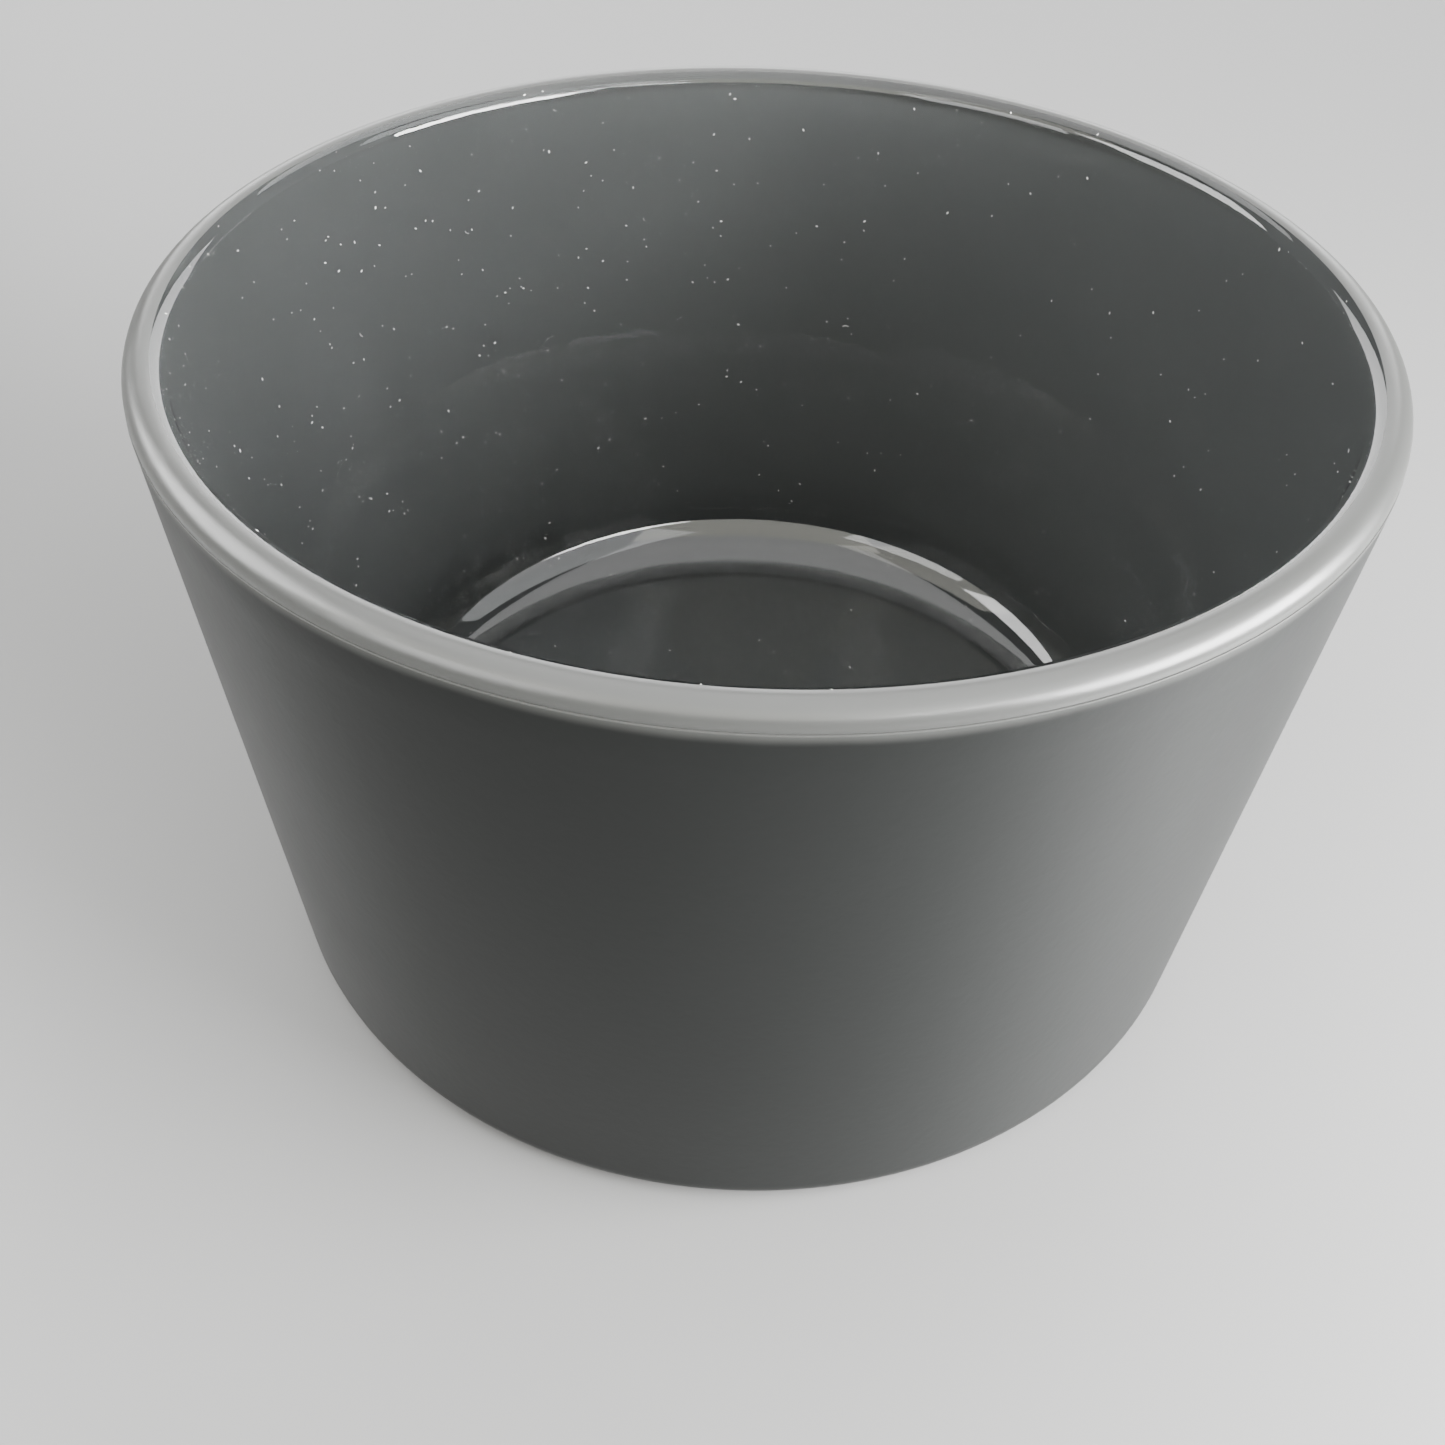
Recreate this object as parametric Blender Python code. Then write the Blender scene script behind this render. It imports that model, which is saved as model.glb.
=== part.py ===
"""An empty candle jar: a wide, tapered bowl of clear pressed glass with a matte coating sprayed on
its outside. Metres, +Z up, origin at the centre of the circle that the jar rests on."""

from math import asin, cos, pi, radians, sin

import bmesh
import bpy

# Glass, measured on the bare vessel
HEIGHT = 0.0724
RIM_RADIUS = 0.0595
BASE_RADIUS = 0.0541
MOUTH_RADIUS = 0.0562
FLOOR_RADIUS = 0.0477
FLOOR_HEIGHT = 0.0070
FLOOR_FILLET = 0.0097
BOTTOM_CORNER = 0.0025

# The shallow hollow underneath
HOLLOW_DEPTH = 0.0014
HOLLOW_RADIUS = 0.0465
HOLLOW_SLOPE = 0.0020

# The sprayed coat, drawn thicker than real paint so that it is a solid
COAT_THICKNESS = 0.0003
COAT_GAP = 0.0003
COAT_TOP_DROP = 0.0019
COAT_FLOOR_CLEARANCE = 0.0003
UNDERSIDE_COAT_RADIUS = 0.0440

TURN_STEPS = 72
ARC_STEPS = 6


def outer_radius(height):
    """Radius of the glass's outside wall, a cone from the base to the rim."""
    return BASE_RADIUS + (RIM_RADIUS - BASE_RADIUS) * height / HEIGHT


def inner_radius(height):
    """Radius of the inside wall, a steeper cone, so the wall thickens downwards."""
    return FLOOR_RADIUS + (MOUTH_RADIUS - FLOOR_RADIUS) * height / HEIGHT


def arc(centre, radius, start, end, steps=ARC_STEPS):
    """Points (radius, height) on an arc, from the start angle to the end angle in radians."""
    turn = (end - start) / steps
    return [
        (centre[0] + radius * cos(start + turn * i), centre[1] + radius * sin(start + turn * i))
        for i in range(steps + 1)
    ]


def glass_outline():
    """The vessel's section: floor, inside wall, rim, outside wall, resting ring and hollow."""
    rim_radius = (outer_radius(HEIGHT) - inner_radius(HEIGHT)) / 2
    rim_height = HEIGHT - rim_radius
    rim_centre = ((outer_radius(rim_height) + inner_radius(rim_height)) / 2, rim_height)
    fillet_height = FLOOR_HEIGHT + FLOOR_FILLET
    fillet_centre = (inner_radius(fillet_height) - FLOOR_FILLET, fillet_height)
    corner_centre = (outer_radius(BOTTOM_CORNER) - BOTTOM_CORNER, BOTTOM_CORNER)
    points = [(0.0, FLOOR_HEIGHT)]
    points += arc(fillet_centre, FLOOR_FILLET, -pi / 2, 0)
    points += arc(rim_centre, rim_radius, pi, 0, 2 * ARC_STEPS)
    points += arc(corner_centre, BOTTOM_CORNER, 0, -pi / 2)
    points += [
        (HOLLOW_RADIUS, 0.0),
        (HOLLOW_RADIUS - HOLLOW_SLOPE, HOLLOW_DEPTH),
        (0.0, HOLLOW_DEPTH),
    ]
    return points


def coat_face(offset, sweep):
    """One face of the wall coat, top to bottom: the cone, then an arc around the bottom corner."""
    top = HEIGHT - COAT_TOP_DROP
    centre = (outer_radius(BOTTOM_CORNER) - BOTTOM_CORNER, BOTTOM_CORNER)
    return [(outer_radius(top) + offset, top)] + arc(centre, BOTTOM_CORNER + offset, 0, -sweep)


def wall_coat_outline():
    """Closed section of the wall coat: down its outside face and back up its inside face."""
    outside = COAT_GAP + COAT_THICKNESS
    sweep = asin((BOTTOM_CORNER - COAT_FLOOR_CLEARANCE) / (BOTTOM_CORNER + outside))
    return coat_face(outside, sweep) + coat_face(COAT_GAP, sweep)[::-1]


def underside_coat_outline():
    """Section of the thin coat on the roof of the hollow underneath."""
    top = HOLLOW_DEPTH - COAT_GAP
    bottom = top - COAT_THICKNESS
    return [(0.0, top), (UNDERSIDE_COAT_RADIUS, top), (UNDERSIDE_COAT_RADIUS, bottom), (0.0, bottom)]


def turned_piece(name, outline, closed, material):
    """One solid of revolution about Z from a section given as (radius, height) points."""
    mesh = bpy.data.meshes.new(name)
    work = bmesh.new()
    verts = [work.verts.new((radius, 0.0, height)) for radius, height in outline]
    for first, second in zip(verts, verts[1:]):
        work.edges.new((first, second))
    if closed:
        work.edges.new((verts[-1], verts[0]))
    work.to_mesh(mesh)
    work.free()
    piece = bpy.data.objects.new(name, mesh)
    bpy.context.scene.collection.objects.link(piece)
    mesh.materials.append(material)
    screw = piece.modifiers.new("turn", "SCREW")
    screw.axis = "Z"
    screw.angle = radians(360)
    screw.steps = TURN_STEPS
    screw.render_steps = TURN_STEPS
    screw.use_merge_vertices = True
    screw.merge_threshold = 0.00001
    screw.use_smooth_shade = True
    return piece


def principled(name, color, roughness, transmission=0.0):
    """A Principled material with one colour."""
    material = bpy.data.materials.new(name)
    material.use_nodes = True
    shader = material.node_tree.nodes["Principled BSDF"]
    shader.inputs["Base Color"].default_value = (*color, 1.0)
    shader.inputs["Roughness"].default_value = roughness
    shader.inputs["Metallic"].default_value = 0.0
    shader.inputs["Transmission Weight"].default_value = transmission
    return material


for old in list(bpy.data.objects):
    bpy.data.objects.remove(old)

glass = principled("clear_glass", (0.93, 0.95, 0.94), 0.02, 1.0)
charcoal = principled("matte_charcoal_coat", (0.048, 0.050, 0.049), 0.48)

turned_piece("glass_vessel", glass_outline(), False, glass)
turned_piece("wall_coating", wall_coat_outline(), True, charcoal)
turned_piece("underside_coating", underside_coat_outline(), False, charcoal)
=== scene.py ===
# %% [markdown]
# # An empty candle jar, made in cells
#
# The jar is a low, wide bowl of clear pressed glass. Its outside is sprayed with a matte charcoal
# lacquer, and its rounded rim is left as bare glass. The measured solids come first: they give
# every size below. The cells after them make the surfaces that are seen.

# %% Load the measured solids
from math import cos, hypot, pi, radians, sin

import bmesh
import bpy
from mathutils import Matrix, Vector


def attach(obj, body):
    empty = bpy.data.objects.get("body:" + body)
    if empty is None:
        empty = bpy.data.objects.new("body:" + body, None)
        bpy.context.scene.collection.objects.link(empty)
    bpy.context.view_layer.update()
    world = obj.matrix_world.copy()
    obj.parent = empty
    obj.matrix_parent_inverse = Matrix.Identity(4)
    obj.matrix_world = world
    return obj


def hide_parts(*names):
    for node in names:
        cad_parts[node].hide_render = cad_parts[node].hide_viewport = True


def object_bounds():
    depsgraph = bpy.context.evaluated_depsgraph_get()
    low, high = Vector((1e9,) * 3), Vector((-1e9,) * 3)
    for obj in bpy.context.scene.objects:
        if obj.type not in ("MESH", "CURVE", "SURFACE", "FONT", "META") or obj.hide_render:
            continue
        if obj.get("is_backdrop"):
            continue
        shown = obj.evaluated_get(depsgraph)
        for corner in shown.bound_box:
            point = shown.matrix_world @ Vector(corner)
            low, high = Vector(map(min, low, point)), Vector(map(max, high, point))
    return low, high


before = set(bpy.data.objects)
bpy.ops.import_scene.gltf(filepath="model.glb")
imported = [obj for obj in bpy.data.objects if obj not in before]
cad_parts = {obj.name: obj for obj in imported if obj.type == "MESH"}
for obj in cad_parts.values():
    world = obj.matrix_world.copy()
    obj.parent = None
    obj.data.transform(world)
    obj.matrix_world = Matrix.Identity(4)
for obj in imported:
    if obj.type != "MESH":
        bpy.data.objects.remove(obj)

cad_box = [list(corner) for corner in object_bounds()]
print("solids:", ", ".join(sorted(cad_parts)))

# %% [markdown]
# ## Sizes
#
# A turned solid is known by its section: the distinct (radius, height) points of its mesh. Reading
# the section's corners from the solids keeps the fine surfaces on the measured ones, so no size is
# written down twice.

# %% Read the section's corners
MM = 0.001
RADIUS, LEVEL = 0, 1
DIGITS = 6


def section_points(node):
    """The distinct (radius, height) points of a turned solid."""
    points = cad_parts[node].data.vertices
    return {(round(hypot(p.co.x, p.co.y), DIGITS), round(p.co.z, DIGITS)) for p in points}


def level_of(point):
    """Height of a (radius, height) point."""
    return point[LEVEL]


glass_points = section_points("glass_vessel")
HEIGHT = max(map(level_of, glass_points))
low_points = [p for p in glass_points if p[LEVEL] < HEIGHT / 2]
high_points = [p for p in glass_points if p[LEVEL] > HEIGHT / 2]
FLOOR_LEVEL = min(low_points)[LEVEL]
HOLLOW_EDGE, HOLLOW_DEPTH = min(p for p in low_points if p[LEVEL] < FLOOR_LEVEL)
RING_INNER = min(radius for radius, level in low_points if level == 0)
INSIDE_FOOT = max(low_points, key=level_of)
INSIDE_TOP = min(high_points)
FLOOR_FILLET = INSIDE_FOOT[LEVEL] - FLOOR_LEVEL

coat_points = section_points("wall_coating")
COAT_TOP = max(coat_points)
COAT_FOOT = max(p for p in coat_points if p[LEVEL] < HEIGHT / 2)
print(f"jar {2 * COAT_TOP[RADIUS] / MM:.1f} mm wide, {HEIGHT / MM:.1f} mm high, "
      f"inside floor {FLOOR_LEVEL / MM:.1f} mm up, its corner radius {FLOOR_FILLET / MM:.1f} mm")

# %% [markdown]
# ## The section as straight lines and arcs
#
# The outside and the inside are two cones with different slopes, so the glass is thin at the rim
# and thick at the foot, as pressed glass is. Each cone is one small function of the height. The
# lacquer is a film less than a tenth of a millimetre thick.

# %% Cones, lines and arcs
LACQUER = 0.08 * MM
HAIR_GAP = 0.02 * MM
FILM = LACQUER - HAIR_GAP
CORNER = 3.0 * MM
SLOPE_STRETCH = 1.5


def on_line(low, high, level):
    """Radius at a height, on the straight line through two (radius, height) points."""
    share = (level - low[LEVEL]) / (high[LEVEL] - low[LEVEL])
    return low[RADIUS] + (high[RADIUS] - low[RADIUS]) * share


def outside(level):
    """Radius of the lacquered outside."""
    return on_line(COAT_FOOT, COAT_TOP, level)


def inside(level):
    """Radius of the inside wall."""
    return on_line(INSIDE_FOOT, INSIDE_TOP, level)


def line(start, end, steps):
    """Points from start up to, but not including, end."""
    return [
        tuple(a + (b - a) * i / steps for a, b in zip(start, end))
        for i in range(steps)
    ]


def arc(centre, radius, start, end, steps, rise=None):
    """Points on an arc, both ends included. Angles in degrees, 0 outwards and 90 up."""
    rise = radius if rise is None else rise
    angles = [radians(start + (end - start) * i / steps) for i in range(steps + 1)]
    return [(centre[0] + radius * cos(a), centre[1] + rise * sin(a)) for a in angles]


def underside(lift, corner_steps=10, ring_steps=4, slope_steps=10):
    """The outside below the cone: corner, resting ring, and the soft step into the hollow.

    The step is a smooth S, stretched a little wider than the measured slope."""
    radius = CORNER - lift
    points = arc((outside(CORNER) - CORNER, CORNER), radius, 0, -90, corner_steps)
    points += line(points[-1], (RING_INNER, lift), ring_steps)[1:]
    slope = SLOPE_STRETCH * (RING_INNER - HOLLOW_EDGE)
    for i in range(slope_steps + 1):
        share = i / slope_steps
        rise = share * share * (3 - 2 * share)
        points.append((RING_INNER - slope * share, lift + HOLLOW_DEPTH * rise))
    return points


FOOT = INSIDE_FOOT[LEVEL]
print(f"wall {(outside(HEIGHT) - inside(HEIGHT)) / MM:.1f} mm thick at the rim, "
      f"{(outside(FOOT) - inside(FOOT)) / MM:.1f} mm where it meets the floor's rounded corner")

# %% [markdown]
# ## A lathe from Geometry Nodes
#
# A jar is its section turned about the axis. The tree takes the section as a chain of points, makes
# a flat grid with one column for each step of the turn, and sends every grid point to its place:
# the point's row picks a point of the section, and its column picks the angle. Merging by distance
# closes the seam and the poles. A number called zone is carried along, so that each band of the
# surface can take its own material.

# %% Helpers for building node trees
def new_tree(name, kind, inputs, outputs):
    """An empty node tree with named sockets, given as (name, socket type, default)."""
    tree = bpy.data.node_groups.new(name, kind)
    for label, socket, default in inputs:
        made = tree.interface.new_socket(label, in_out="INPUT", socket_type=socket)
        if default is not None:
            made.default_value = default
    for label, socket in outputs:
        tree.interface.new_socket(label, in_out="OUTPUT", socket_type=socket)
    return tree


def add(tree, kind, settings=None, **inputs):
    """A node with its settings and inputs. An input is a value or another node's output.

    Inputs go by their name, or by their number as in0, in1 where names repeat."""
    node = tree.nodes.new(kind)
    for key, value in (settings or {}).items():
        setattr(node, key, value)
    for key, value in inputs.items():
        by_number = key.startswith("in") and key[2:].isdigit()
        socket = node.inputs[int(key[2:]) if by_number else key.replace("_", " ")]
        if isinstance(value, bpy.types.NodeSocket):
            tree.links.new(value, socket)
        else:
            socket.default_value = value
    return node


def maths(tree, operation, *values):
    """A Math node's output."""
    node = tree.nodes.new("ShaderNodeMath")
    node.operation = operation
    for socket, value in zip(node.inputs, values):
        if isinstance(value, bpy.types.NodeSocket):
            tree.links.new(value, socket)
        else:
            socket.default_value = value
    return node.outputs[0]


# %% The lathe
TURN_STEPS = 192
MERGE_DISTANCE = 0.005 * MM
ZONE_STARTS = {"Inside": -1.0, "Rim": 0.6, "Coated": 1.4}


def lathe_tree():
    """Turns a section about the axis, and paints each zone from its lowest number up."""
    tree = new_tree(
        "turn_section",
        "GeometryNodeTree",
        [
            ("Section", "NodeSocketGeometry", None),
            ("Steps", "NodeSocketInt", TURN_STEPS),
            ("Inside", "NodeSocketMaterial", None),
            ("Rim", "NodeSocketMaterial", None),
            ("Coated", "NodeSocketMaterial", None),
        ],
        [("Geometry", "NodeSocketGeometry")],
    )
    given = tree.nodes.new("NodeGroupInput").outputs
    count = add(tree, "GeometryNodeAttributeDomainSize", Geometry=given["Section"])
    rows = count.outputs["Point Count"]
    columns = maths(tree, "ADD", given["Steps"], 1.0)
    grid = add(tree, "GeometryNodeMeshGrid", Vertices_X=columns, Vertices_Y=rows)
    index = tree.nodes.new("GeometryNodeInputIndex").outputs[0]
    column = maths(tree, "FLOOR", maths(tree, "DIVIDE", maths(tree, "ADD", index, 0.5), rows))
    row = maths(tree, "SUBTRACT", index, maths(tree, "MULTIPLY", column, rows))
    angle = maths(tree, "DIVIDE", maths(tree, "MULTIPLY", column, 2 * pi), given["Steps"])

    place = tree.nodes.new("GeometryNodeInputPosition").outputs[0]
    point = add(tree, "GeometryNodeSampleIndex", {"data_type": "FLOAT_VECTOR"},
                Geometry=given["Section"], Value=place, Index=row)
    turned = add(tree, "ShaderNodeVectorRotate", {"rotation_type": "Z_AXIS"},
                 Vector=point.outputs[0], Angle=angle)
    shape = add(tree, "GeometryNodeSetPosition", Geometry=grid.outputs["Mesh"],
                Position=turned.outputs[0])

    named = add(tree, "GeometryNodeInputNamedAttribute", {"data_type": "FLOAT"}, Name="zone")
    zone = add(tree, "GeometryNodeSampleIndex", {"data_type": "FLOAT"},
               Geometry=given["Section"], Value=named.outputs["Attribute"], Index=row)
    marked = add(tree, "GeometryNodeStoreNamedAttribute", {"data_type": "FLOAT", "domain": "POINT"},
                 Geometry=shape.outputs[0], Name="zone", Value=zone.outputs[0])
    joined = add(tree, "GeometryNodeMergeByDistance", Geometry=marked.outputs[0],
                 Distance=MERGE_DISTANCE)

    kept = add(tree, "GeometryNodeInputNamedAttribute", {"data_type": "FLOAT"}, Name="zone")
    band = kept.outputs["Attribute"]
    smooth = add(tree, "GeometryNodeSetShadeSmooth", Geometry=joined.outputs[0])

    face = smooth.outputs[0]
    for label, lowest in ZONE_STARTS.items():
        chosen = maths(tree, "GREATER_THAN", band, lowest)
        painted = add(tree, "GeometryNodeSetMaterial", Geometry=face, Selection=chosen,
                      Material=given[label])
        face = painted.outputs[0]
    result = tree.nodes.new("NodeGroupOutput")
    tree.links.new(add(tree, "GeometryNodeRealizeInstances", Geometry=face).outputs[0],
                   result.inputs[0])
    return tree


LATHE = lathe_tree()
print("lathe nodes:", len(LATHE.nodes))

# %% Run a tree and keep a plain mesh
CUBIC_CENTIMETRE = (10 * MM) ** 3


def run_tree(name, mesh, tree, **inputs):
    """Evaluates a Geometry Nodes tree on a mesh and returns an object with the plain result."""
    piece = bpy.data.objects.new(name, mesh)
    bpy.context.scene.collection.objects.link(piece)
    modifier = piece.modifiers.new("tree", "NODES")
    modifier.node_group = tree
    identifiers = {
        item.name: item.identifier
        for item in tree.interface.items_tree
        if item.item_type == "SOCKET" and item.in_out == "INPUT"
    }
    for label, value in inputs.items():
        modifier[identifiers[label.replace("_", " ")]] = value
    evaluated = piece.evaluated_get(bpy.context.evaluated_depsgraph_get())
    result = bpy.data.meshes.new_from_object(evaluated)
    piece.modifiers.remove(modifier)
    piece.data = result
    result.name = name
    return piece


def keep_used_materials(piece):
    """Drops empty and unused material slots, and keeps each face's own material."""
    mesh = piece.data
    materials = list(mesh.materials)
    indices = [face.material_index for face in mesh.polygons]
    used = sorted(set(indices))
    mesh.materials.clear()
    for index in used:
        mesh.materials.append(materials[index])
    for face, index in zip(mesh.polygons, indices):
        face.material_index = used.index(index)


def face_outwards(piece):
    """Turns every face of one closed surface outwards."""
    work = bmesh.new()
    work.from_mesh(piece.data)
    bmesh.ops.recalc_face_normals(work, faces=work.faces)
    if work.calc_volume(signed=True) < 0:
        bmesh.ops.reverse_faces(work, faces=work.faces)
    open_edges = sum(1 for edge in work.edges if len(edge.link_faces) != 2)
    volume = work.calc_volume(signed=True)
    work.to_mesh(piece.data)
    work.free()
    print(f"{piece.name}: {len(piece.data.polygons)} faces, {open_edges} open edges, "
          f"{volume / CUBIC_CENTIMETRE:.2f} cubic centimetres")


def turned(name, section, **inputs):
    """A turned piece from a section of (radius, height, zone) points."""
    mesh = bpy.data.meshes.new(name + "_section")
    mesh.from_pydata([(radius, 0, level) for radius, level, zone in section],
                     [(i, i + 1) for i in range(len(section) - 1)], [])
    zones = mesh.attributes.new("zone", "FLOAT", "POINT")
    zones.data.foreach_set("value", [zone for radius, level, zone in section])
    piece = run_tree(name, mesh, LATHE, Steps=TURN_STEPS, **inputs)
    keep_used_materials(piece)
    face_outwards(piece)
    return piece

# %% [markdown]
# ## The spray coat's finish
#
# Sprayed lacquer is never one flat colour. Its film is a little thicker in some places than in
# others, its surface has a fine orange peel, and a few dust specks settle in it while it is wet. All
# the lacquered faces share this effect, so it is one shader group with named inputs, and each
# material gives its own values. The group reads object coordinates, so the pattern stays on the jar.

# %% The spray coat group
SPECK_REACH = 0.06


def mixed(tree, share, first, second):
    """A mix of two colours: a Mix node has its colour sockets at 6 and 7, and the result at 2."""
    node = add(tree, "ShaderNodeMix", {"data_type": "RGBA"}, in0=share, in6=first, in7=second)
    return node.outputs[2]


def spray_coat_group():
    """Clouded colour with rare specks, thinner at the top edge, with a roughness and a peel."""
    tree = new_tree(
        "spray_coat",
        "ShaderNodeTree",
        [
            ("Coat colour", "NodeSocketColor", (0.05, 0.05, 0.05, 1)),
            ("Speck colour", "NodeSocketColor", (0.3, 0.3, 0.3, 1)),
            ("Cloud size", "NodeSocketFloat", 0.02),
            ("Cloudiness", "NodeSocketFloat", 0.1),
            ("Peel size", "NodeSocketFloat", 0.0009),
            ("Speck spacing", "NodeSocketFloat", 0.004),
            ("Speck share", "NodeSocketFloat", 0.06),
            ("Smoothest", "NodeSocketFloat", 0.4),
            ("Roughest", "NodeSocketFloat", 0.5),
            ("Edge level", "NodeSocketFloat", 1.0),
            ("Edge depth", "NodeSocketFloat", 0.001),
            ("Edge colour", "NodeSocketColor", (0.3, 0.3, 0.3, 1)),
        ],
        [
            ("Color", "NodeSocketColor"),
            ("Roughness", "NodeSocketFloat"),
            ("Height", "NodeSocketFloat"),
        ],
    )
    given = tree.nodes.new("NodeGroupInput").outputs
    place = tree.nodes.new("ShaderNodeTexCoord").outputs["Object"]
    clouds = add(tree, "ShaderNodeTexNoise", Vector=place, Detail=4.0,
                 Scale=maths(tree, "DIVIDE", 1.0, given["Cloud size"])).outputs[0]
    around = maths(tree, "SUBTRACT", clouds, 0.5)
    shade = maths(tree, "MULTIPLY_ADD", around, given["Cloudiness"], 1.0)
    clouded = add(tree, "ShaderNodeVectorMath", {"operation": "SCALE"},
                  in0=given["Coat colour"], Scale=shade).outputs[0]

    cells = add(tree, "ShaderNodeTexVoronoi", Vector=place,
                Scale=maths(tree, "DIVIDE", 1.0, given["Speck spacing"]))
    lot = add(tree, "ShaderNodeSeparateColor", Color=cells.outputs["Color"]).outputs[0]
    chosen = maths(tree, "LESS_THAN", lot, given["Speck share"])
    near = maths(tree, "LESS_THAN", cells.outputs["Distance"], SPECK_REACH)
    speck = maths(tree, "MULTIPLY", chosen, near)
    colour = mixed(tree, speck, clouded, given["Speck colour"])

    peel = add(tree, "ShaderNodeTexNoise", Vector=place, Detail=2.0,
               Scale=maths(tree, "DIVIDE", 1.0, given["Peel size"])).outputs[0]
    span = maths(tree, "SUBTRACT", given["Roughest"], given["Smoothest"])
    rough = maths(tree, "MULTIPLY_ADD", clouds, span, given["Smoothest"])

    level = add(tree, "ShaderNodeSeparateXYZ", Vector=place).outputs["Z"]
    ragged = maths(tree, "MULTIPLY", around, given["Edge depth"])
    thinning = add(tree, "ShaderNodeMapRange", {"interpolation_type": "SMOOTHSTEP"},
                   Value=maths(tree, "ADD", level, ragged),
                   From_Min=maths(tree, "SUBTRACT", given["Edge level"], given["Edge depth"]),
                   From_Max=given["Edge level"]).outputs[0]
    edged = mixed(tree, thinning, colour, given["Edge colour"])
    result = tree.nodes.new("NodeGroupOutput")
    tree.links.new(edged, result.inputs["Color"])
    tree.links.new(rough, result.inputs["Roughness"])
    tree.links.new(maths(tree, "ADD", peel, speck), result.inputs["Height"])
    return tree


SPRAY_COAT = spray_coat_group()
print("spray coat nodes:", len(SPRAY_COAT.nodes))

# %% [markdown]
# ## The pressed glass's finish
#
# Glass pressed in a mould is polished by the flame, but it keeps long soft waves, which bend its
# reflections a little. An empty jar has also been handled, so a faint film dulls it in patches.
# The inside and the bare rim share this group.

# %% The pressed glass group
def pressed_glass_group():
    """Long waves for the bump, and patches of film that dull the glass a little."""
    tree = new_tree(
        "pressed_glass",
        "ShaderNodeTree",
        [
            ("Glass colour", "NodeSocketColor", (1, 1, 1, 1)),
            ("Wave size", "NodeSocketFloat", 0.02),
            ("Film size", "NodeSocketFloat", 0.03),
            ("Clearest", "NodeSocketFloat", 0.0),
            ("Dullest", "NodeSocketFloat", 0.05),
        ],
        [
            ("Color", "NodeSocketColor"),
            ("Roughness", "NodeSocketFloat"),
            ("Height", "NodeSocketFloat"),
        ],
    )
    given = tree.nodes.new("NodeGroupInput").outputs
    place = tree.nodes.new("ShaderNodeTexCoord").outputs["Object"]
    stretched = add(tree, "ShaderNodeMapping", Vector=place, Scale=(1.0, 1.0, 0.35))
    waves = add(tree, "ShaderNodeTexNoise", Vector=stretched.outputs[0], Detail=1.0,
                Scale=maths(tree, "DIVIDE", 1.0, given["Wave size"])).outputs[0]
    film = add(tree, "ShaderNodeTexNoise", Vector=place, Detail=3.0, Distortion=0.6,
               Scale=maths(tree, "DIVIDE", 1.0, given["Film size"])).outputs[0]
    patches = add(tree, "ShaderNodeMapRange", {"interpolation_type": "SMOOTHSTEP"},
                  Value=film, From_Min=0.42, From_Max=0.72).outputs[0]
    span = maths(tree, "SUBTRACT", given["Dullest"], given["Clearest"])
    rough = maths(tree, "MULTIPLY_ADD", patches, span, given["Clearest"])
    shade = maths(tree, "MULTIPLY_ADD", patches, -0.03, 1.0)
    colour = add(tree, "ShaderNodeVectorMath", {"operation": "SCALE"},
                 in0=given["Glass colour"], Scale=shade).outputs[0]
    result = tree.nodes.new("NodeGroupOutput")
    tree.links.new(colour, result.inputs["Color"])
    tree.links.new(rough, result.inputs["Roughness"])
    tree.links.new(waves, result.inputs["Height"])
    return tree


PRESSED_GLASS = pressed_glass_group()
print("pressed glass nodes:", len(PRESSED_GLASS.nodes))

# %% A material from a finish group
def finish_material(name, group, values, bump, **constants):
    """A Principled material whose colour, roughness and bump come from a finish group."""
    material = bpy.data.materials.new(name)
    material.use_nodes = True
    tree = material.node_tree
    surface = tree.nodes["Principled BSDF"]
    for label, value in constants.items():
        surface.inputs[label.replace("_", " ")].default_value = value
    finish = tree.nodes.new("ShaderNodeGroup")
    finish.node_tree = group
    for label, value in values.items():
        finish.inputs[label].default_value = value
    relief = add(tree, "ShaderNodeBump", Height=finish.outputs["Height"], Distance=bump)
    tree.links.new(finish.outputs["Color"], surface.inputs["Base Color"])
    tree.links.new(finish.outputs["Roughness"], surface.inputs["Roughness"])
    tree.links.new(relief.outputs["Normal"], surface.inputs["Normal"])
    return material


# %% [markdown]
# ## Five materials
#
# The lacquer shows three ways: outside as a matte coat, below as the same coat with a little wear,
# and from within the jar through clear glass. There it is bonded to the glass, so it has no gloss of
# its own, and the only shine is the glass's. Its colour there is painted about seven times lighter
# than outside, as painted light that brightens the inside walls. The rim is bare glass, and its
# satin face scatters light.

# %% Make the materials
CHARCOAL = (0.0092, 0.0100, 0.0097, 1)
THIN_COAT = (0.050, 0.051, 0.049, 1)
EDGE = {"Edge level": COAT_TOP[LEVEL], "Edge depth": 1.3 * MM, "Edge colour": THIN_COAT}
matte_coat = finish_material(
    "matte_charcoal_lacquer", SPRAY_COAT,
    {"Coat colour": CHARCOAL, "Speck colour": (0.22, 0.22, 0.21, 1), "Cloud size": 0.035,
     "Cloudiness": 0.30, "Smoothest": 0.32, "Roughest": 0.42, "Peel size": 0.0011,
     "Speck spacing": 0.006, "Speck share": 0.05, **EDGE},
    bump=0.012 * MM, Specular_IOR_Level=0.13, IOR=1.5,
)
underside_coat_finish = finish_material(
    "underside_charcoal_lacquer", SPRAY_COAT,
    {"Coat colour": CHARCOAL, "Speck colour": (0.30, 0.30, 0.29, 1), "Cloud size": 0.018,
     "Cloudiness": 0.50, "Smoothest": 0.45, "Roughest": 0.65, "Peel size": 0.0011,
     "Speck spacing": 0.004, "Speck share": 0.12},
    bump=0.020 * MM, Specular_IOR_Level=0.45, IOR=1.5,
)
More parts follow.
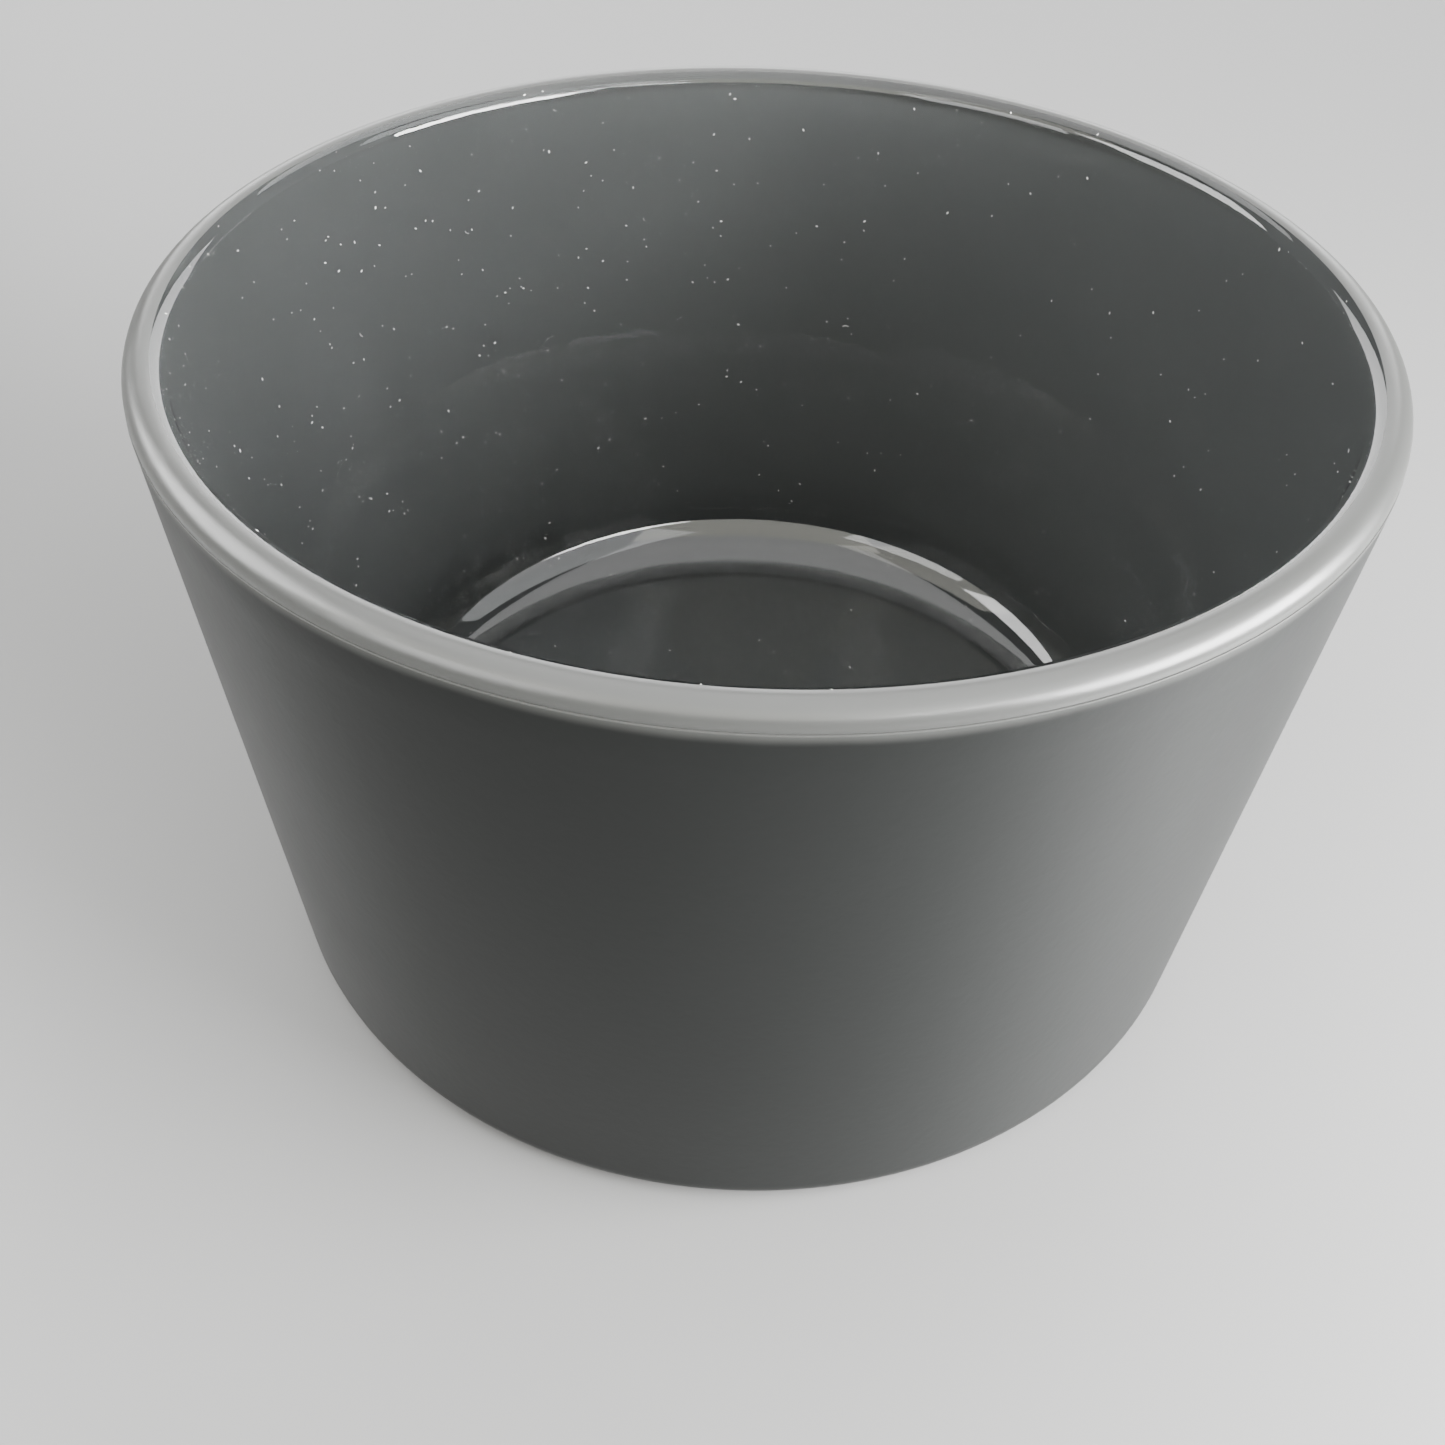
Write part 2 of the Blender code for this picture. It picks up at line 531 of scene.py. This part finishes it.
# Painted light: the same lacquer, painted about seven times lighter than the outside coat, so that
# the walls inside the jar look lit.
bonded_coat_painted_lighter = finish_material(
    "lacquer_behind_glass_painted_lighter", SPRAY_COAT,
    {"Coat colour": (0.068, 0.071, 0.071, 1), "Speck colour": (0.16, 0.16, 0.16, 1),
     "Cloud size": 0.04, "Cloudiness": 0.25, "Smoothest": 0.9, "Roughest": 1.0,
     "Speck spacing": 0.006, "Speck share": 0.02, **EDGE},
    bump=0.001 * MM, Specular_IOR_Level=0.0, IOR=1.5,
)
clear_glass = finish_material(
    "clear_pressed_glass", PRESSED_GLASS,
    {"Glass colour": (0.975, 0.99, 0.985, 1), "Wave size": 0.022, "Film size": 0.03,
     "Clearest": 0.01, "Dullest": 0.05},
    bump=0.02 * MM, Transmission_Weight=1.0, IOR=1.5,
)
rim_glass = finish_material(
    "satin_rim_glass", PRESSED_GLASS,
    {"Glass colour": (0.105, 0.107, 0.103, 1), "Wave size": 0.012, "Film size": 0.01,
     "Clearest": 0.28, "Dullest": 0.36},
    bump=0.004 * MM, Transmission_Weight=0.55, Specular_IOR_Level=0.40, IOR=1.5,
)
FINISHES = (matte_coat, underside_coat_finish, bonded_coat_painted_lighter, clear_glass, rim_glass)
print("materials:", ", ".join(material.name for material in FINISHES))

# %% [markdown]
# ## The glass bowl
#
# One closed section makes the whole bowl: under the hollow, over the resting ring, up the outside,
# round the rim, down the inside and across the floor. Three zones share it. Zone 0 is the clear
# inside, zone 1 is the bare rim, and zone 2 is glass with lacquer bonded to it.

# %% Section and turning of the bowl
CLEAR, BARE, BONDED = 0.0, 1.0, 2.0
RIM_RISE = HEIGHT - INSIDE_TOP[LEVEL]
NEAR = 0.3 * MM
WALL_ROWS = 16
INNER_ROWS = 30
FLAT_ROWS = 10
ARC_ROWS = 24
SATIN_ROWS = 16


def in_zone(points, zone):
    """The points with a zone added to each."""
    return [(radius, level, zone) for radius, level in points]


def bowl_section():
    """The bowl's closed section, from the hollow's middle round to the middle of the floor.

    Where a curve meets a flat, one more row lies NEAR the joint, so that its shading stays crisp.
    The satin zone of the rim stops short of the inside, where the glass is clear again."""
    below = underside(LACQUER)
    roof = line((0, HOLLOW_DEPTH + LACQUER), below[-1], FLAT_ROWS)
    foot = roof + [(below[-1][RADIUS] - NEAR, below[-1][LEVEL])] + below[::-1]
    top = COAT_TOP[LEVEL]
    wall_end = (outside(top) - LACQUER, top)
    wall = line(foot[-1], wall_end, WALL_ROWS)[1:]
    shoulder = HEIGHT - RIM_RISE
    rim_outer, rim_inner = outside(shoulder) - LACQUER, inside(shoulder)
    centre = ((rim_outer + rim_inner) / 2, shoulder)
    rim = arc(centre, (rim_outer - rim_inner) / 2, 0, 180, ARC_ROWS, rise=RIM_RISE)
    corner_level = FLOOR_LEVEL + FLOOR_FILLET
    wall_foot = (inside(corner_level + NEAR), corner_level + NEAR)
    inner_wall = line((inside(shoulder), shoulder), wall_foot, INNER_ROWS) + [wall_foot]
    fillet_centre = (inside(corner_level) - FLOOR_FILLET, corner_level)
    fillet = arc(fillet_centre, FLOOR_FILLET, 0, -90, ARC_ROWS)
    floor_edge = (fillet[-1][RADIUS] - NEAR, FLOOR_LEVEL)
    floor = line(floor_edge, (0, FLOOR_LEVEL), FLAT_ROWS) + [(0, FLOOR_LEVEL)]
    return (
        in_zone(foot + wall, BONDED)
        + in_zone([wall_end] + rim[:SATIN_ROWS], BARE)
        + in_zone(rim[SATIN_ROWS:] + inner_wall[1:] + fillet + floor, CLEAR)
    )


bowl = turned("pressed_glass_bowl", bowl_section(), Inside=clear_glass, Rim=rim_glass,
              Coated=bonded_coat_painted_lighter)
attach(bowl, "root")
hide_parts("glass_vessel")
print("bowl materials:", [m.name for m in bowl.data.materials])

# %% [markdown]
# ## The sprayed coats
#
# The lacquer is a film with a closed section of its own: out along the glass and back along its own
# face. Its top edge thins to nothing just under the rim. The coat below the jar is a second
# piece, since it was sprayed in a second pass with the jar upside down.

# %% Wall coat and underside coat
FEATHER = 0.3 * MM


def film_section(inner_face, outer_face):
    """Out along the inner face, back along the outer face, and closed at the start."""
    return in_zone(inner_face + outer_face[::-1] + inner_face[:1], CLEAR)


def wall_face(lift, top):
    """One face of the wall coat, from the resting ring up to its top."""
    face = [p for p in underside(lift) if p[RADIUS] >= RING_INNER][::-1]
    end = (outside(top) - lift, top)
    return face + line(face[-1], end, WALL_ROWS)[1:] + [end]


def hollow_face(lift):
    """One face of the coat below, from the middle of the hollow's roof out to the ring."""
    edge = [p for p in underside(lift) if p[RADIUS] <= RING_INNER][::-1]
    return [(0, HOLLOW_DEPTH + lift)] + edge


wall_top = COAT_TOP[LEVEL]
wall_film = film_section(wall_face(FILM, wall_top), wall_face(0.0, wall_top - FEATHER))
wall_coat = turned("sprayed_wall_coat", wall_film, Inside=matte_coat)
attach(wall_coat, "root")
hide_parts("wall_coating")

hollow_film = in_zone(hollow_face(FILM) + hollow_face(0.0)[::-1], CLEAR)
underside_coat = turned("sprayed_underside_coat", hollow_film, Inside=underside_coat_finish)
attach(underside_coat, "root")
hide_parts("underside_coating")

# %% [markdown]
# ## Lint and dust
#
# Dark glass shows every speck. Dust and short fibres cling to the inside, in drifts, and more of
# them on one side. Geometry Nodes scatter two tiny shapes, a flake and a bent fibre, over the clear
# zone of the bowl. The seed is fixed, so the specks are the same each time.

# %% The lint tree
CLEAR_LIMIT = 0.3


def lint_tree():
    """Scatters flakes and fibres over the clear zone, more of them to one side and in drifts."""
    tree = new_tree(
        "scatter_lint",
        "GeometryNodeTree",
        [
            ("Surface", "NodeSocketGeometry", None),
            ("Flakes per area", "NodeSocketFloat", 42000.0),
            ("Fibres per area", "NodeSocketFloat", 1600.0),
            ("Smallest", "NodeSocketFloat", 0.09 * MM),
            ("Largest", "NodeSocketFloat", 0.22 * MM),
            ("Fibre length", "NodeSocketFloat", 0.9 * MM),
            ("Seed", "NodeSocketInt", 4),
            ("Lint", "NodeSocketMaterial", None),
        ],
        [("Geometry", "NodeSocketGeometry")],
    )
    given = tree.nodes.new("NodeGroupInput").outputs
    zone = add(tree, "GeometryNodeInputNamedAttribute", {"data_type": "FLOAT"}, Name="zone")
    clear = maths(tree, "LESS_THAN", zone.outputs["Attribute"], CLEAR_LIMIT)
    place = tree.nodes.new("GeometryNodeInputPosition").outputs[0]
    parts = add(tree, "ShaderNodeSeparateXYZ", Vector=place).outputs
    to_left = add(tree, "ShaderNodeMapRange", Value=parts["X"], From_Min=0.05, From_Max=-0.05,
                  To_Min=0.25, To_Max=1.6).outputs[0]
    drifts = add(tree, "ShaderNodeTexNoise", Vector=place, Scale=45.0, Detail=1.0).outputs[0]
    drifts = add(tree, "ShaderNodeMapRange", Value=drifts, From_Min=0.35, From_Max=0.7,
                 To_Min=0.6, To_Max=1.3).outputs[0]
    crowding = maths(tree, "MULTIPLY", to_left, drifts)

    flake = add(tree, "GeometryNodeMeshIcoSphere", Radius=1.0, Subdivisions=1)
    flake = add(tree, "GeometryNodeTransform", Geometry=flake.outputs[0], Scale=(1.0, 0.45, 0.25))
    bend = add(tree, "GeometryNodeCurveArc", Resolution=7, Radius=0.7, Sweep_Angle=1.5)
    hair = add(tree, "GeometryNodeCurvePrimitiveCircle", Resolution=4, Radius=0.03)
    fibre = add(tree, "GeometryNodeCurveToMesh", Curve=bend.outputs[0],
                Profile_Curve=hair.outputs[0], Fill_Caps=True)
    fibre = add(tree, "GeometryNodeTransform", Geometry=fibre.outputs[0],
                Translation=(-0.5, -0.5, 0.03))

    kinds = []
    sizes = (given["Smallest"], given["Largest"])
    lengths = (maths(tree, "MULTIPLY", given["Fibre length"], 0.4), given["Fibre length"])
    for shape, amount, (least, most), step in (
        (flake, "Flakes per area", sizes, 0),
        (fibre, "Fibres per area", lengths, 10),
    ):
        seed = maths(tree, "ADD", given["Seed"], step)
        spread = add(tree, "GeometryNodeDistributePointsOnFaces", Mesh=given["Surface"],
                     Selection=clear, Density=maths(tree, "MULTIPLY", crowding, given[amount]),
                     Seed=seed)
        draw = add(tree, "FunctionNodeRandomValue", {"data_type": "FLOAT"}, Seed=seed)
        share = maths(tree, "POWER", draw.outputs[1], 2.5)
        size = maths(tree, "MULTIPLY_ADD", share, maths(tree, "SUBTRACT", most, least), least)
        placed = add(tree, "GeometryNodeInstanceOnPoints", Points=spread.outputs["Points"],
                     Instance=shape.outputs[0], Rotation=spread.outputs["Rotation"], Scale=size)
        spin = add(tree, "FunctionNodeRandomValue", {"data_type": "FLOAT"},
                   Seed=maths(tree, "ADD", seed, 1))
        turn = add(tree, "ShaderNodeCombineXYZ",
                   Z=maths(tree, "MULTIPLY", spin.outputs[1], 2 * pi))
        spun = add(tree, "GeometryNodeRotateInstances", Instances=placed.outputs[0],
                   Rotation=turn.outputs[0])
        kinds.append(spun.outputs[0])
    joined = tree.nodes.new("GeometryNodeJoinGeometry")
    for kind in kinds:
        tree.links.new(kind, joined.inputs[0])
    solid = add(tree, "GeometryNodeRealizeInstances", Geometry=joined.outputs[0])
    painted = add(tree, "GeometryNodeSetMaterial", Geometry=solid.outputs[0],
                  Material=given["Lint"])
    result = tree.nodes.new("NodeGroupOutput")
    tree.links.new(painted.outputs[0], result.inputs[0])
    return tree


def lint_material():
    """Off-white and dull, a little different from speck to speck."""
    material = bpy.data.materials.new("pale_lint")
    material.use_nodes = True
    tree = material.node_tree
    surface = tree.nodes["Principled BSDF"]
    place = tree.nodes.new("ShaderNodeTexCoord").outputs["Object"]
    noise = add(tree, "ShaderNodeTexNoise", Vector=place, Scale=900.0, Detail=2.0).outputs[0]
    tone = add(tree, "ShaderNodeMapRange", Value=noise, From_Min=0.3, From_Max=0.7,
               To_Min=0.45, To_Max=0.95).outputs[0]
    colour = add(tree, "ShaderNodeCombineColor", Red=tone, Green=tone,
                 Blue=maths(tree, "MULTIPLY", tone, 0.96))
    tree.links.new(colour.outputs[0], surface.inputs["Base Color"])
    surface.inputs["Roughness"].default_value = 0.85
    return material


lint = run_tree("clinging_lint", bowl.data.copy(), lint_tree(), Lint=lint_material())
keep_used_materials(lint)
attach(lint, "root")
print(f"{lint.name}: {len(lint.data.polygons)} faces")

# %% [markdown]
# ## The floor under the jar
#
# A plain pale sheet, wide enough that no edge of it shows. It isn't part of the jar.

# %% Floor
def pale_floor_material():
    """One plain pale grey with a soft sheen."""
    material = bpy.data.materials.new("pale_floor")
    material.use_nodes = True
    surface = material.node_tree.nodes["Principled BSDF"]
    surface.inputs["Base Color"].default_value = (0.150, 0.150, 0.149, 1)
    surface.inputs["Roughness"].default_value = 0.38
    return material


FLOOR_REACH = 3.0
floor_mesh = bpy.data.meshes.new("pale_floor")
floor_mesh.from_pydata(
    [(-FLOOR_REACH, -FLOOR_REACH, 0), (FLOOR_REACH, -FLOOR_REACH, 0),
     (FLOOR_REACH, FLOOR_REACH, 0), (-FLOOR_REACH, FLOOR_REACH, 0)],
    [], [(0, 1, 2, 3)])
floor_mesh.materials.append(pale_floor_material())
studio_floor = bpy.data.objects.new("studio_floor", floor_mesh)
bpy.context.scene.collection.objects.link(studio_floor)
studio_floor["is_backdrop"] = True

# %% [markdown]
# ## Soft studio light
#
# Dark gloss shows its surroundings more than its own colour, so the lights are large soft boxes
# placed for what the glass mirrors. A soft box is set by its brightness, not its power, so its
# size can change without changing how bright it looks in the glass.

# %% Lights
JAR_MIDDLE = (0, 0, HEIGHT / 2)
WARM, COOL = (1.0, 0.99, 0.90), (0.97, 0.99, 1.0)


def softbox(name, place, aim, size, brightness, tint=(1.0, 1.0, 1.0)):
    """A rectangular light at a place, facing aim, with the brightness of its face."""
    lamp = bpy.data.lights.new(name, "AREA")
    lamp.shape = "RECTANGLE"
    lamp.size, lamp.size_y = size
    lamp.energy = brightness * pi * size[0] * size[1]
    lamp.color = tint
    holder = bpy.data.objects.new(name, lamp)
    bpy.context.scene.collection.objects.link(holder)
    holder.location = place
    facing = Vector(aim) - Vector(place)
    holder.rotation_euler = facing.to_track_quat("-Z", "Y").to_euler()
    holder.visible_camera = False
    return holder


# Each line: name, place, aim, width and height, brightness, tint
softbox("overhead", (0.0, -0.10, 0.60), (0.0, -0.10, 0.0), (0.6, 0.45), 3.6)
softbox("overhead_back", (0.0, 0.33, 0.60), (0.0, 0.33, 0.0), (0.6, 0.41), 3.6)
softbox("front_high", (0.0, -0.45, 0.46), JAR_MIDDLE, (0.66, 0.37), 4.3, WARM)
softbox("high_left", (-0.42, -0.20, 0.52), JAR_MIDDLE, (0.45, 0.35), 3.4, WARM)
softbox("high_right", (0.43, -0.17, 0.54), JAR_MIDDLE, (0.74, 0.33), 4.2, COOL)
softbox("right_front_window", (0.372, -0.312, 0.353), JAR_MIDDLE, (0.55, 0.035), 42.0)
softbox("right_window", (0.25, -0.10, 0.13), (0.13, -0.07, 0.0), (0.22, 0.13), 95.0)
softbox("left_window", (-0.38, 0.08, 0.30), JAR_MIDDLE, (0.30, 0.25), 16.0)
softbox("left_front", (-0.35, -0.30, 0.30), JAR_MIDDLE, (0.30, 0.25), 8.0)
softbox("back_window", (0.0, 1.20, 0.42), (0, 0.2, 0), (1.6, 0.5), 6.0)

world = bpy.data.worlds.new("soft_room")
bpy.context.scene.world = world
world.use_nodes = True
room = world.node_tree.nodes["Background"].inputs
room["Color"].default_value = (0.95, 0.97, 1.0, 1)
room["Strength"].default_value = 0.22

# %% [markdown]
# ## The camera
#
# It looks down into the jar from close by, so the rim is much wider than the foot. Its turn, its
# tilt and its own roll are kept as three numbers and multiplied in that order.

# %% Camera
CAMERA_PLACE = (0.0, -0.13709, 0.14337)
TURN, TILT, ROLL = radians(1.242), radians(47.016), radians(2.007)
SENSOR_MM, LENS_MM = 36, 38.49
lens = bpy.data.cameras.new("view")
lens.sensor_width = SENSOR_MM
lens.lens = LENS_MM
lens.clip_start = 2 * MM
camera = bpy.data.objects.new("view", lens)
bpy.context.scene.collection.objects.link(camera)
camera.location = CAMERA_PLACE
camera.rotation_euler = (
    Matrix.Rotation(TURN, 3, "Z") @ Matrix.Rotation(TILT, 3, "X") @ Matrix.Rotation(ROLL, 3, "Z")
).to_euler()
bpy.context.scene.camera = camera

# %% Compare the boxes and finish
seen_box = [list(corner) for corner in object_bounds()]
for label, box in (("solid box ", cad_box), ("visual box", seen_box)):
    print(label, [[round(v / MM, 2) for v in corner] for corner in box])
